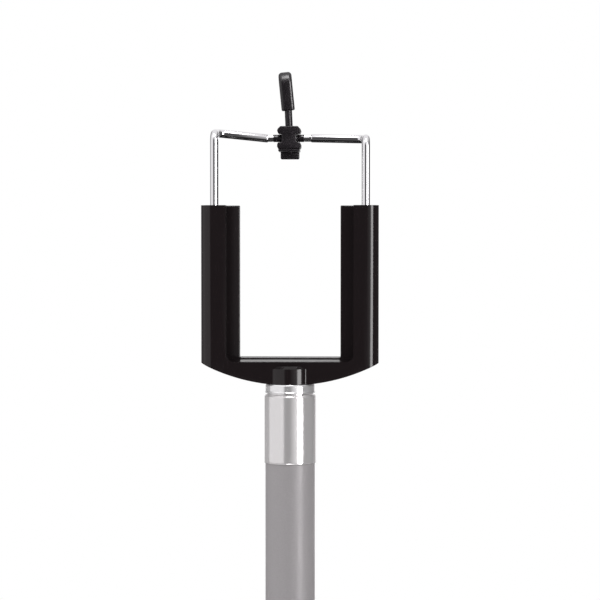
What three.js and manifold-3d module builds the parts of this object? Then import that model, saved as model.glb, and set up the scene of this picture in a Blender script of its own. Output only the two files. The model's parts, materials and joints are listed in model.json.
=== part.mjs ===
// Telescopic selfie stick with a spring-loaded phone clip.
//
// Frame: millimetres, +Z up along the stick, origin on the stick's axis at the flat end of the
// handle. The clip's back faces -Y, the phone sits on the +Y side of its arms, and +X is to the
// right when the clip is seen from behind.
//
// The stick is drawn pushed together. The clip stands open for a phone about 69 mm wide.

import * as THREE from "three";
import { mergeVertices } from "three/addons/utils/BufferGeometryUtils.js";
import Module from "manifold-3d";

const wasm = await Module();
wasm.setup();

// ---------------------------------------------------------------- driving dimensions

const FIT = 0.1; // radial clearance of sliding fits
const SEAT = 0.2; // gap left between faces that rest on each other

// Handle, from the flat end upwards.
const CAP = { radius: 12, solidTop: 10, rimTop: 14, spigotTop: 20, chamfer: 1.4 };
const STRAP_SLOT = { width: 7, bottom: 2.5, top: 8, radius: 2 };
const FOAM = { bottom: 14.2, top: 122, radius: 12, bulge: 0.5, round: 2.2 };
const GRIP_RING = { bottom: 122.2, top: 127.4, lowRadius: 11.3, topRadius: 9.2 };

// Telescopic tubes: the outer one, and the sections that slide in it.
const OUTER = { radius: 8.25, wall: 0.5, bottom: 10.2, top: 208.2 };
const SECTION_NAMES = [2, 3, 4, 5, 6];
const RADIUS_STEP = 0.95; // each section is this much smaller in radius than the one around it
const SECTION_TOP = 209;
const LIP = 1.2; // height of the rolled-in top edge that stops the next bush
const BUSH = { height: 14, base: 3, vent: 1.6 };
const FIRST_BUSH = CAP.spigotTop + SEAT;
const BUSH_PITCH = BUSH.base + SEAT;

const COLLAR = { radius: 8.6, bottom: 186, top: 209.45, shoulder: 1.5, lip: 0.7 };
const NECK = { radius: 8.25, bottom: 209.65, top: 212.4, chamfer: 0.3, spigotBottom: 197 };
const STUD = { radius: 3.1, coreRadius: 2.55, shankRadius: 2, bottom: 203, top: 218.6, pitch: 1.27 };

// Phone clip: a fork of two moulded halves that meet at the plane y = 0.
const SEAT_Z = 212.55; // flat underside of the fork, on the neck
const FORK = {
  halfWidth: 29.5,
  armTop: 271.8,
  boatRadius: 63, // the curved underside
  boatBottom: 212.15, // where it would reach without the flat seat
  back: -5.5,
  front: 3,
  roundBack: 4.1, // radius of the outer back edge's rounding
  roundInset: 3.9, // how far in from the side it starts
  roundUnder: 1, // rounding of the curved underside's back edge
  innerHalf: 21.15, // the inner edge of the raised back cover
  innerBottom: 219.85,
  innerSlopeTop: 220.67, // the opening's floor rises to here at the parting plane
  innerCorner: 2.7,
  windowHalf: 16.8, // the window between the arms
  windowBottom: 221.1,
};
const BOSS = { radius: 7.7, top: 217.8, dome: 1.4 };
const INSERT = { radius: 5, bottom: 213.3, top: 217.4, holeRadius: 3.2, groove: 0.4 };
const LEDGE = { halfWidth: 27, front: 14.6, bottom: 217.9, top: 220.15, pad: 0.8 };
const LEDGE_LIP = { inner: 18, outer: 27, back: 12.7, top: 228 };
const GUSSET = { x: 17.5, thickness: 2, reach: 12, bottom: 215 };
const ARM_PAD = { centre: 23.2, width: 8, thickness: 0.8, bottom: 229, top: 266 };
const SCREW = {
  radius: 1,
  headRadius: 1.9,
  headHeight: 1.2,
  tip: -2.9,
  places: [
    [-24, 223.3],
    [-12.4, 215.85],
    [12.4, 215.85],
    [24, 223.3],
  ],
};

// The chromed wire and what it carries inside the arms.
const ROD = { x: 25.2, y: -1.2, radius: 1.4, bottom: 240 };
const CHANNEL = { radius: 2.6, bottom: 225, top: 267, seatRadius: 2.95, seatTop: 270.6, mouth: 1.7 };
const CROSSBAR_Y = 8.3;
// The hand-bent wire isn't quite square: its height where each rod ends, and where the bar starts.
const CORNER_Z = { left: 295.5, right: 293.9 };
const BAR_Z = { left: 296.1, right: 294.2 };
const MIDDLE_Z = 294.6;
const BEND = 3; // bend radius of the wire's centreline
const SHOULDER = { left: -8.1, right: 7.1, endRadius: 1.1 }; // where the bar steps down to its necks
const SLEEVE_END = { left: -6, right: 4.45, radius: 1.25 };
const JOURNAL_RADIUS = 0.8;
const ROD_COLLAR = { radius: 2.4, bottom: 240.5, height: 2 };
const SPRING = { coil: 2, wire: 0.3, turns: 10, stepsPerTurn: 8 };

// Jaw that swivels on the middle of the wire.
const JAW = {
  x: -0.58, // it sits a little left of the stick's axis
  back: 4.6,
  front: 12,
  halfWidth: 4,
  waist: 2.4,
  top: 298.55,
  upperBottom: 296.1,
  lowerTop: 293.1,
  bottom: 290.9,
};
const JAW_LIP = { halfWidth: 3.2, back: 13, front: 15, bottom: 287.8 };
const JAW_PAD = { halfWidth: 3.6, bottom: 290.1, top: 290.8 };
const TAB_LEAN = { stem: 2.5, sleeve: 5.7 }; // degrees, towards -X
const STEM = { radius: 1.35, top: 309 };
const TAB = { width: 4.6, thickness: 3.4, bottom: 303.9, straightTop: 312.7, curlRadius: 3.2 };

const WALL_SEGMENTS = 32; // facets round a tube
const FINE_SEGMENTS = 16; // facets round a small pin or bush

// ---------------------------------------------------------------- solids and booleans

function signedVolume(positions, index) {
  let sum = 0;
  const [a, b, c] = [new THREE.Vector3(), new THREE.Vector3(), new THREE.Vector3()];
  for (let i = 0; i < index.length; i += 3) {
    a.fromArray(positions, index[i] * 3);
    b.fromArray(positions, index[i + 1] * 3);
    c.fromArray(positions, index[i + 2] * 3);
    sum += a.dot(b.cross(c)) / 6;
  }
  return sum;
}

// A closed geometry as a manifold-3d solid whose faces point out.
function solid(geometry) {
  const loose = geometry.index ? geometry.toNonIndexed() : geometry;
  const bare = new THREE.BufferGeometry();
  bare.setAttribute("position", loose.getAttribute("position").clone());
  const merged = mergeVertices(bare, 1e-4);
  const vertProperties = merged.attributes.position.array;
  const triVerts = new Uint32Array(merged.index.array);
  if (signedVolume(vertProperties, triVerts) < 0) triVerts.reverse();
  return new wasm.Manifold(new wasm.Mesh({ numProp: 3, vertProperties, triVerts }));
}

function geometryOf(made) {
  const mesh = made.getMesh();
  const geometry = new THREE.BufferGeometry();
  geometry.setAttribute("position", new THREE.BufferAttribute(mesh.vertProperties, mesh.numProp));
  geometry.setIndex(new THREE.BufferAttribute(mesh.triVerts, 1));
  geometry.computeVertexNormals();
  return geometry;
}

function join(first, ...others) {
  return others.reduce((whole, piece) => whole.add(piece), first);
}

function cut(first, ...tools) {
  return tools.reduce((whole, tool) => whole.subtract(tool), first);
}

// A solid of revolution about Z, from its [radius, height] outline.
function turned(outline, segments = WALL_SEGMENTS) {
  const points = outline.map(([r, z]) => new THREE.Vector2(r, z));
  return solid(new THREE.LatheGeometry(points, segments).rotateX(Math.PI / 2));
}

// A ring of revolution about Z: the outline closes on itself, off the axis.
function ring(outline, segments = WALL_SEGMENTS) {
  return turned([...outline, outline[0]], segments);
}

function rod(radius, bottom, top, x = 0, y = 0, segments = FINE_SEGMENTS) {
  const outline = [
    [0, bottom],
    [radius, bottom],
    [radius, top],
    [0, top],
  ];
  return turned(outline, segments).translate([x, y, 0]);
}

function tubePiece(inner, outer, bottom, top, segments = WALL_SEGMENTS) {
  return ring(
    [
      [inner, bottom],
      [outer, bottom],
      [outer, top],
      [inner, top],
    ],
    segments,
  );
}

function block(x0, x1, y0, y1, z0, z1) {
  const box = new THREE.BoxGeometry(x1 - x0, y1 - y0, z1 - z0);
  return solid(box.translate((x0 + x1) / 2, (y0 + y1) / 2, (z0 + z1) / 2));
}

// A shape drawn in x and z, made solid from the plane y0 to the plane y1.
function plateXZ(shape, y0, y1, curveSegments = 8) {
  const options = { depth: y1 - y0, bevelEnabled: false, curveSegments };
  const geometry = new THREE.ExtrudeGeometry(shape, options);
  return solid(geometry.rotateX(Math.PI / 2).translate(0, y1, 0));
}

// A shape drawn in y and z, made solid from x0 to x1.
function plateYZ(shape, x0, x1, curveSegments = 8) {
  const options = { depth: x1 - x0, bevelEnabled: false, curveSegments };
  const geometry = new THREE.ExtrudeGeometry(shape, options);
  return solid(geometry.rotateX(Math.PI / 2).rotateZ(Math.PI / 2).translate(x0, 0, 0));
}

// A curve that visits its own points one after the other, one for each step of an extrusion.
class Route extends THREE.Curve {
  constructor(points) {
    super();
    this.points = points;
  }
  getPoint(t) {
    const place = t * (this.points.length - 1);
    const i = Math.min(Math.floor(place), this.points.length - 2);
    return this.points[i].clone().lerp(this.points[i + 1], place - i);
  }
  getPointAt(u) {
    return this.getPoint(u);
  }
  getTangentAt(u) {
    const last = this.points.length - 1;
    const i = Math.round(u * last);
    const before = this.points[Math.max(i - 1, 0)];
    const after = this.points[Math.min(i + 1, last)];
    const here = this.points[i];
    const into = i > 0 ? here.clone().sub(before).normalize() : new THREE.Vector3();
    const out = i < last ? after.clone().sub(here).normalize() : new THREE.Vector3();
    return into.add(out).normalize();
  }
}

function wireAlong(points, radius, sides) {
  const section = new THREE.Shape().absarc(0, 0, radius, 0, 2 * Math.PI);
  const extrudePath = new Route(points);
  const options = { steps: points.length - 1, extrudePath, curveSegments: sides };
  return solid(new THREE.ExtrudeGeometry(section, options));
}

// Points along straight runs between corners, with each corner rounded to a radius.
function roundedRoute(corners, radius, stepsPerBend = 5) {
  const route = [corners[0]];
  for (let i = 1; i < corners.length - 1; i++) {
    const into = corners[i - 1].clone().sub(corners[i]).normalize();
    const out = corners[i + 1].clone().sub(corners[i]).normalize();
    const half = into.angleTo(out) / 2;
    const centreDistance = radius / Math.sin(half);
    const bisector = into.clone().add(out).normalize();
    const centre = corners[i].clone().addScaledVector(bisector, centreDistance);
    const start = corners[i].clone().addScaledVector(into, radius / Math.tan(half));
    const axis = start.clone().sub(centre).cross(corners[i].clone().sub(centre)).normalize();
    const sweep = Math.PI - 2 * half;
    for (let k = 0; k <= stepsPerBend; k++) {
      const arm = start.clone().sub(centre).applyAxisAngle(axis, (sweep * k) / stepsPerBend);
      route.push(centre.clone().add(arm));
    }
  }
  return [...route, corners.at(-1)];
}

// ---------------------------------------------------------------- materials

function finish(colour, roughness, metalness) {
  return new THREE.MeshStandardMaterial({ color: colour, roughness, metalness });
}

const MATERIAL = {
  glossBlack: finish(0x1c1a1b, 0.2, 0),
  mattBlack: finish(0x202021, 0.6, 0),
  rubber: finish(0x1a1a1b, 0.75, 0),
  foam: finish(0x1f1f20, 0.95, 0),
  bushPlastic: finish(0xe6e3da, 0.5, 0),
  greyPaint: finish(0x8f8b89, 0.4, 0.3),
  aluminium: finish(0xc4c2c0, 0.25, 1),
  steel: finish(0xaaaaae, 0.3, 1),
  chrome: finish(0xdcdce0, 0.06, 1),
  zinc: finish(0xb5b5b0, 0.35, 1),
  brass: finish(0xb08d4c, 0.3, 1),
};

function part(name, made, material) {
  const mesh = new THREE.Mesh(geometryOf(made), material);
  mesh.name = name;
  return mesh;
}

// ---------------------------------------------------------------- handle

function endCap() {
  const spigot = OUTER.radius - OUTER.wall - FIT;
  const body = turned([
    [0, 0],
    [CAP.radius - CAP.chamfer, 0],
    [CAP.radius, CAP.chamfer],
    [CAP.radius, CAP.rimTop],
    [OUTER.radius + FIT, CAP.rimTop],
    [OUTER.radius + FIT, CAP.solidTop],
    [spigot, CAP.solidTop],
    [spigot, CAP.spigotTop],
    [0, CAP.spigotTop],
  ]);
  const { width, bottom, top, radius } = STRAP_SLOT;
  const slot = new THREE.Shape();
  slot.absarc(width / 2 - radius, bottom + radius, radius, -Math.PI / 2, 0);
  slot.absarc(width / 2 - radius, top - radius, radius, 0, Math.PI / 2);
  slot.absarc(radius - width / 2, top - radius, radius, Math.PI / 2, Math.PI);
  slot.absarc(radius - width / 2, bottom + radius, radius, Math.PI, 1.5 * Math.PI);
  return cut(body, plateYZ(slot, -2 * CAP.radius, 2 * CAP.radius, 3));
}

function gripFoam() {
  const inner = OUTER.radius + FIT;
  const { bottom, top, radius, bulge, round } = FOAM;
  const outline = [
    [inner, bottom],
    [radius - round, bottom],
  ];
  for (let a = 15; a <= 90; a += 25) {
    const angle = THREE.MathUtils.degToRad(a);
    const r = radius - round + round * Math.sin(angle);
    outline.push([r, bottom + round - round * Math.cos(angle)]);
  }
  for (const share of [0.25, 0.5, 0.75]) {
    outline.push([radius + bulge * Math.sin(share * Math.PI), bottom + share * (top - bottom)]);
  }
  for (let a = 90; a >= 15; a -= 25) {
    const angle = THREE.MathUtils.degToRad(a);
    const r = radius - round + round * Math.sin(angle);
    outline.push([r, top - round + round * Math.cos(angle)]);
  }
  outline.push([radius - round, top], [inner, top]);
  return ring(outline);
}

function gripRing() {
  const inner = OUTER.radius + FIT;
  const { bottom, top, lowRadius, topRadius } = GRIP_RING;
  return ring([
    [inner, bottom],
    [lowRadius, bottom],
    [lowRadius, bottom + 2.2],
    [topRadius, top - 0.6],
    [topRadius - 0.4, top],
    [inner, top],
  ]);
}

// A tube whose top edge is rolled in to hold back the bush of the next section.
function lippedTube(radius, wall, bottom, top, lipRadius) {
  const inner = radius - wall;
  return ring([
    [inner, bottom],
    [radius, bottom],
    [radius, top - 0.3],
    [radius - 0.3, top],
    [lipRadius, top],
    [lipRadius, top - LIP],
    [inner, top - LIP],
  ]);
}

function topCollar() {
  const { radius, bottom, top, shoulder, lip } = COLLAR;
  const outline = [
    [OUTER.radius + FIT, bottom],
    [radius, bottom],
  ];
  for (let a = 0; a <= 90; a += 22.5) {
    const angle = THREE.MathUtils.degToRad(a);
    const inset = shoulder * 0.7 * (1 - Math.cos(angle));
    outline.push([radius - inset, top - shoulder + shoulder * Math.sin(angle)]);
  }
  const mouth = OUTER.radius - RADIUS_STEP + FIT;
  outline.push([mouth, top], [mouth, top - lip], [OUTER.radius + FIT, top - lip]);
  return ring(outline);
}

// ---------------------------------------------------------------- telescopic sections

function sectionRadius(order) {
  return OUTER.radius - RADIUS_STEP * order;
}

function bushBottom(order) {
  return FIRST_BUSH + BUSH_PITCH * (order - 1);
}

function sectionTube(order, isLast) {
  const radius = sectionRadius(order);
  const bottom = bushBottom(order) + BUSH.base + FIT;
  if (isLast) return tubePiece(radius - OUTER.wall, radius, bottom, SECTION_TOP);
  const lipRadius = sectionRadius(order + 1) + FIT;
  return lippedTube(radius, OUTER.wall, bottom, SECTION_TOP, lipRadius);
}

// The cup at a section's foot, which slides in the tube around it.
function slideBush(order) {
  const outer = sectionRadius(order - 1) - OUTER.wall - FIT;
  const inner = sectionRadius(order) + 0.05;
  const bottom = bushBottom(order);
  return ring([
    [BUSH.vent, bottom],
    [outer, bottom],
    [outer, bottom + BUSH.height],
    [inner, bottom + BUSH.height],
    [inner, bottom + BUSH.base],
    [BUSH.vent, bottom + BUSH.base],
  ]);
}

function headNeck() {
  const { radius, bottom, top, chamfer, spigotBottom } = NECK;
  const spigot = sectionRadius(SECTION_NAMES.length) - OUTER.wall - 0.05;
  return turned([
    [0, spigotBottom],
    [spigot - 0.4, spigotBottom],
    [spigot, spigotBottom + 0.4],
    [spigot, bottom],
    [radius - chamfer, bottom],
    [radius, bottom + chamfer],
    [radius, top - chamfer],
    [radius - chamfer, top],
    [STUD.shankRadius + FIT, top],
    [STUD.shankRadius + FIT, STUD.bottom - SEAT],
    [0, STUD.bottom - SEAT],
  ]);
}

// A threaded stud drawn with plain ridges at the thread's pitch.
function tripodStud() {
  const { radius, coreRadius, shankRadius, bottom, top, pitch } = STUD;
  const threadBottom = NECK.top + 0.05;
  const outline = [
    [0, bottom],
    [shankRadius, bottom],
    [shankRadius, threadBottom],
    [coreRadius, threadBottom],
  ];
  for (let z = threadBottom + 0.1; z + pitch < top - 0.2; z += pitch) {
    outline.push([radius, z + 0.45 * pitch], [radius, z + 0.6 * pitch], [coreRadius, z + pitch]);
  }
  outline.push([coreRadius - 0.6, top], [0, top]);
  return turned(outline, FINE_SEGMENTS);
}

// ---------------------------------------------------------------- phone clip

// The fork's outline with its boat-shaped underside. innerHalf and innerBottom bound the opening.
function forkShape(innerHalf, innerBottom, corner) {
  const { halfWidth, armTop, boatRadius, boatBottom } = FORK;
  const centre = boatBottom + boatRadius;
  const edge = Math.asin(halfWidth / boatRadius);
  const shape = new THREE.Shape();
  shape.moveTo(-innerHalf, armTop);
  shape.lineTo(-halfWidth, armTop);
  shape.absarc(0, centre, boatRadius, -Math.PI / 2 - edge, -Math.PI / 2 + edge);
  shape.lineTo(halfWidth, armTop);
  shape.lineTo(innerHalf, armTop);
  if (corner > 0) {
    shape.absarc(innerHalf - corner, innerBottom + corner, corner, 0, -Math.PI / 2, true);
    shape.absarc(corner - innerHalf, innerBottom + corner, corner, -Math.PI / 2, -Math.PI, true);
  } else {
    shape.lineTo(innerHalf, innerBottom);
    shape.lineTo(-innerHalf, innerBottom);
  }
  return shape;
}

// Points [inset, depth] of a rounding, from the side face round to the flat back.
function backRounding(radius, widestInset, steps) {
  const widest = Math.asin(widestInset / radius);
  const points = [];
  for (let i = 0; i <= steps; i++) {
    const angle = widest * (1 - i / steps);
    const inset = widestInset - radius * Math.sin(angle);
    points.push([inset, FORK.back + radius - radius * Math.cos(angle)]);
  }
  return points;
}

// What is left of the back cover once its outer back edges are rounded.
function roundedBackEnvelope() {
  const { halfWidth, back, boatRadius, boatBottom, armTop } = FORK;
  const { roundBack, roundInset, roundUnder } = FORK;
  const rounding = backRounding(roundBack, roundInset, 5);
  const left = rounding.map(([inset, y]) => new THREE.Vector2(inset - halfWidth, y));
  const right = rounding.map(([inset, y]) => new THREE.Vector2(halfWidth - inset, y)).reverse();
  const sides = [new THREE.Vector2(-halfWidth, 1), ...left, ...right];
  const section = new THREE.Shape([...sides, new THREE.Vector2(halfWidth, 1)]);
  const options = { depth: armTop - 200, bevelEnabled: false };
  const prism = solid(new THREE.ExtrudeGeometry(section, options)).translate([0, 0, 200]);
  const under = backRounding(roundUnder, roundUnder, 3).reverse();
  const rim = under.map(([inset, y]) => new THREE.Vector2(boatRadius - inset, y));
  const middle = [new THREE.Vector2(0, back), new THREE.Vector2(0, 1)];
  const points = [middle[0], ...rim, new THREE.Vector2(boatRadius, 1), middle[1]];
  const disc = solid(new THREE.LatheGeometry(points, 96));
  return prism.intersect(disc.translate([0, 0, boatBottom + boatRadius]));
}

function bossSolid() {
  const { radius, top, dome } = BOSS;
  const outline = [
    [0, SEAT_Z],
    [radius, SEAT_Z],
  ];
  for (let a = 0; a <= 90; a += 30) {
    const angle = THREE.MathUtils.degToRad(a);
    outline.push([radius - dome + dome * Math.cos(angle), top - dome + dome * Math.sin(angle)]);
  }
  outline.push([0, top]);
  return turned(outline);
}

// Everything that is cut out of both halves of the fork.
function forkHollows() {
  const hollows = [
    rod(INSERT.radius + FIT, INSERT.bottom - FIT, INSERT.top + FIT),
    rod(INSERT.holeRadius + FIT, SEAT_Z - 1, STUD.top + SEAT),
    block(-NECK.radius, NECK.radius, -9, 9, SEAT_Z - 2, SEAT_Z),
  ];
  for (const side of [-1, 1]) {
    const x = side * ROD.x;
    hollows.push(rod(CHANNEL.radius, CHANNEL.bottom, CHANNEL.top + 0.1, x, ROD.y));
    hollows.push(rod(CHANNEL.seatRadius, CHANNEL.top, CHANNEL.seatTop, x, ROD.y));
    hollows.push(rod(CHANNEL.mouth, CHANNEL.seatTop - 0.1, FORK.armTop + 1, x, ROD.y));
  }
  return hollows;
}

function alongY(radius, y0, y1, x, z, segments = 12) {
  const pin = new THREE.CylinderGeometry(radius, radius, y1 - y0, segments);
  return solid(pin.translate(x, (y0 + y1) / 2, z));
}

// The opening's floor in the rear cover, which rises towards the parting plane.
function openingFloor() {
  const { back, innerBottom, innerSlopeTop, innerHalf } = FORK;
  const shape = new THREE.Shape();
  shape.moveTo(back + 0.5, innerBottom - 0.5);
  shape.lineTo(-FIT, innerBottom - 0.5);
  shape.lineTo(-FIT, innerSlopeTop);
  shape.lineTo(back + 0.5, innerBottom + 0.05);
  return plateYZ(shape, 0.1 - innerHalf, innerHalf - 0.1);
}

function rearCover() {
  const shape = forkShape(FORK.innerHalf, FORK.innerBottom, FORK.innerCorner);
  const raised = plateXZ(shape, FORK.back, -FIT, 16).intersect(roundedBackEnvelope());
  const whole = join(raised, openingFloor(), bossSolid());
  const behind = block(-40, 40, -20, -FIT, 200, 290);
  const pilots = SCREW.places.map(([x, z]) =>
    alongY(SCREW.radius + 0.05, SCREW.tip - 0.2, 1, x, z),
  );
  return cut(whole.intersect(behind), ...forkHollows(), ...pilots);
}

function gusset(x) {
  const shape = new THREE.Shape();
  shape.moveTo(FORK.front - 0.5, GUSSET.bottom);
  shape.lineTo(FORK.front + 0.5, GUSSET.bottom);
  shape.lineTo(GUSSET.reach, LEDGE.bottom);
  shape.lineTo(GUSSET.reach, LEDGE.bottom + 0.5);
  shape.lineTo(FORK.front - 0.5, LEDGE.bottom + 0.5);
  return plateYZ(shape, x - GUSSET.thickness / 2, x + GUSSET.thickness / 2);
}

function frontFrame() {
  const plate = plateXZ(forkShape(FORK.windowHalf, FORK.windowBottom, 0), 0, FORK.front, 16);
  const boss = bossSolid().intersect(block(-40, 40, 0, 20, 200, LEDGE.bottom + 0.5));
  const { halfWidth, front, bottom, top } = LEDGE;
  const ledge = block(-halfWidth, halfWidth, FORK.front - 0.5, front, bottom, top);
  const lips = [-1, 1].map((side) => {
    const [a, b] = [side * LEDGE_LIP.inner, side * LEDGE_LIP.outer].sort((p, q) => p - q);
    return block(a, b, LEDGE_LIP.back, front, top - 0.5, LEDGE_LIP.top);
  });
  const webs = [-GUSSET.x, GUSSET.x].map(gusset);
  const whole = join(plate, boss, ledge, ...lips, ...webs);
  const holes = SCREW.places.flatMap(([x, z]) => [
    alongY(SCREW.radius + 0.15, -1, 9, x, z),
    alongY(SCREW.headRadius + 0.15, FORK.front - SCREW.headHeight, 9, x, z, 16),
  ]);
  return cut(whole, ...forkHollows(), ...holes);
}

function shellScrew([x, z]) {
  const { radius, headRadius, headHeight, tip } = SCREW;
  const headBack = FORK.front - headHeight + 0.1;
  const head = alongY(headRadius, headBack, FORK.front - 0.05, x, z, 16);
  const shaft = alongY(radius - 0.05, tip, headBack + 0.3, x, z);
  const slotA = block(x - 1.1, x + 1.1, FORK.front - 0.55, 9, z - 0.2, z + 0.2);
  const slotB = block(x - 0.2, x + 0.2, FORK.front - 0.55, 9, z - 1.1, z + 1.1);
  return cut(join(head, shaft), slotA, slotB);
}

function threadedInsert() {
  const { radius, bottom, top, holeRadius, groove } = INSERT;
  const middle = (bottom + top) / 2;
  return ring([
    [holeRadius, bottom],
    [radius, bottom],
    [radius, middle - groove],
    [radius - groove, middle - groove],
    [radius - groove, middle + groove],
    [radius, middle + groove],
    [radius, top],
    [holeRadius, top],
  ], FINE_SEGMENTS);
}

function ledgePad() {
  const { halfWidth, top, pad } = LEDGE;
  const [back, front] = [FORK.front + 0.2, LEDGE_LIP.back - 0.2];
  return block(1 - halfWidth, halfWidth - 1, back, front, top + 0.05, top + pad + 0.05);
}

function armPad(side) {
  const { centre, width, thickness, bottom, top } = ARM_PAD;
  const corner = 1.5;
  const pad = new THREE.Shape();
  const [x0, x1] = [side * centre - width / 2, side * centre + width / 2];
  pad.absarc(x1 - corner, bottom + corner, corner, -Math.PI / 2, 0);
  pad.absarc(x1 - corner, top - corner, corner, 0, Math.PI / 2);
  pad.absarc(x0 + corner, top - corner, corner, Math.PI / 2, Math.PI);
  pad.absarc(x0 + corner, bottom + corner, corner, Math.PI, 1.5 * Math.PI);
  return plateXZ(pad, FORK.front + 0.05, FORK.front + thickness, 3);
}

function guideBush(side) {
  const made = tubePiece(
    ROD.radius + FIT,
    CHANNEL.seatRadius - FIT,
    CHANNEL.top + FIT,
    CHANNEL.seatTop - FIT,
    FINE_SEGMENTS,
  );
  return made.translate([side * ROD.x, ROD.y, 0]);
}

// ---------------------------------------------------------------- wire frame and springs

function halfWire(side) {
  const end = side < 0 ? "left" : "right";
  const corners = [
    new THREE.Vector3(side * ROD.x, ROD.y, ROD.bottom),
    new THREE.Vector3(side * ROD.x, ROD.y, CORNER_Z[end]),
    new THREE.Vector3(side * ROD.x, CROSSBAR_Y, BAR_Z[end]),
    new THREE.Vector3(SHOULDER[end], CROSSBAR_Y, MIDDLE_Z),
  ];
  return wireAlong(roundedRoute(corners, BEND), ROD.radius, 7);
}

// A turned piece whose axis lies along X through the middle of the crossbar.
function onCrossbar(outline, segments = FINE_SEGMENTS) {
  return turned(outline, segments).rotate([0, 90, 0]).translate([0, CROSSBAR_Y, MIDDLE_Z]);
}

// The thinner neck between the bar's thick end and the sleeve.
function barNeck(side) {
  const end = side < 0 ? "left" : "right";
  const start = Math.abs(SHOULDER[end]);
  const stop = Math.abs(SLEEVE_END[end]) + FIT;
  const outline = [
    [0, stop],
    [SHOULDER.endRadius, stop],
    [SHOULDER.endRadius, start - 0.4],
    [ROD.radius, start],
    [ROD.radius, start + 0.4],
    [0, start + 0.4],
  ];
  return onCrossbar(outline.map(([r, x]) => [r, side * x]));
}

function wireFrame() {
  const journal = onCrossbar([
    [0, SHOULDER.left - 0.2],
    [JOURNAL_RADIUS, SHOULDER.left - 0.2],
    [JOURNAL_RADIUS, SHOULDER.right + 0.2],
    [0, SHOULDER.right + 0.2],
  ]);
  return join(halfWire(-1), halfWire(1), barNeck(-1), barNeck(1), journal);
}

function wireSleeve(side) {
  const start = JAW.x + side * (JAW.waist + 0.15);
  const end = side < 0 ? SLEEVE_END.left : SLEEVE_END.right;
  const outline = [
    [JOURNAL_RADIUS + 0.05, start],
    [SLEEVE_END.radius, start],
    [SLEEVE_END.radius, end],
    [JOURNAL_RADIUS + 0.05, end],
    [JOURNAL_RADIUS + 0.05, start],
  ];
  return onCrossbar(outline);
}

function rodCollar(side) {
  const { radius, bottom, height } = ROD_COLLAR;
  const made = tubePiece(ROD.radius + 0.05, radius, bottom, bottom + height, FINE_SEGMENTS);
  return made.translate([side * ROD.x, ROD.y, 0]);
}

function spring(side) {
  const bottom = ROD_COLLAR.bottom + ROD_COLLAR.height + SPRING.wire + SEAT;
  const top = CHANNEL.top - SPRING.wire;
  const steps = SPRING.turns * SPRING.stepsPerTurn;
  const points = [];
  for (let i = 0; i <= steps; i++) {
    const angle = (2 * Math.PI * i) / SPRING.stepsPerTurn;
    const x = side * (ROD.x + SPRING.coil * Math.cos(angle));
    const y = ROD.y + SPRING.coil * Math.sin(angle);
    points.push(new THREE.Vector3(x, y, bottom + ((top - bottom) * i) / steps));
  }
  return wireAlong(points, SPRING.wire, 2);
}

// ---------------------------------------------------------------- jaw

function jawBlock() {
  const { halfWidth, waist, top, upperBottom, lowerTop, bottom, back, front } = JAW;
  const right = [
    [halfWidth - 1.1, top],
    [halfWidth - 0.2, top - 0.9],
    [halfWidth, top - 1.5],
    [halfWidth - 0.3, upperBottom],
    [waist, upperBottom],
    [waist, lowerTop],
    [halfWidth - 0.3, lowerTop],
    [halfWidth, lowerTop - 0.7],
    [halfWidth, bottom + 0.7],
    [halfWidth - 0.4, bottom],
  ];
  const left = right.map(([x, z]) => [-x, z]).reverse();
  const outline = new THREE.Shape([...right, ...left].map(([x, z]) => new THREE.Vector2(x, z)));
  const body = plateXZ(outline, back, front);
  const { halfWidth: lipHalf, back: lipBack, front: lipFront } = JAW_LIP;
  const toe = block(-lipHalf, lipHalf, front - 0.5, lipFront, bottom, lowerTop);
  const lip = block(-lipHalf, lipHalf, lipBack, lipFront, JAW_LIP.bottom, bottom + 0.5);
  const stem = rod(STEM.radius, top - 1, STEM.top, 0, 0, 12)
    .translate([0, 0, -top])
    .rotate([0, -TAB_LEAN.stem, 0])
    .translate([-0.1, CROSSBAR_Y, top]);
  const bore = onCrossbar([
    [0, -9],
    [JOURNAL_RADIUS + 0.15, -9],
    [JOURNAL_RADIUS + 0.15, 9],
    [0, 9],
  ], 16);
  return cut(join(body, toe, lip, stem), bore);
}

// The soft sleeve on the stem: straight, then curled forwards at the top.
function tabSleeve() {
  const { width, thickness, bottom, straightTop, curlRadius } = TAB;
  const half = thickness / 2;
  const centreY = CROSSBAR_Y + curlRadius;
  const curl = THREE.MathUtils.degToRad(62);
  const profile = new THREE.Shape();
  profile.moveTo(CROSSBAR_Y + half, bottom);
  profile.lineTo(CROSSBAR_Y + half, straightTop);
  profile.absarc(centreY, straightTop, curlRadius - half, Math.PI, Math.PI - curl, true);
  const tip = new THREE.Vector2(
    centreY - curlRadius * Math.cos(curl),
    straightTop + curlRadius * Math.sin(curl),
  );
  profile.absarc(tip.x, tip.y, half, -curl, Math.PI - curl);
  profile.absarc(centreY, straightTop, curlRadius + half, Math.PI - curl, Math.PI);
  profile.lineTo(CROSSBAR_Y - half, bottom);
  const strip = plateYZ(profile, -width / 2, width / 2, 6);
  const leaning = strip
    .translate([0, 0, -bottom])
    .rotate([0, -TAB_LEAN.sleeve, 0])
    .translate([-0.35, 0, bottom]);
  const pocket = rod(STEM.radius + 0.15, -0.5, STEM.top - JAW.top + 0.3, 0, 0, 12)
    .rotate([0, -TAB_LEAN.stem, 0])
    .translate([-0.1, CROSSBAR_Y, JAW.top]);
  return cut(leaning, pocket);
}

function jawPad() {
  const { halfWidth, bottom, top } = JAW_PAD;
  return block(-halfWidth, halfWidth, JAW.back + 0.2, 12.2, bottom, top);
}

// ---------------------------------------------------------------- assembly

function group(...children) {
  const made = new THREE.Group();
  made.add(...children);
  return made;
}

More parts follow.
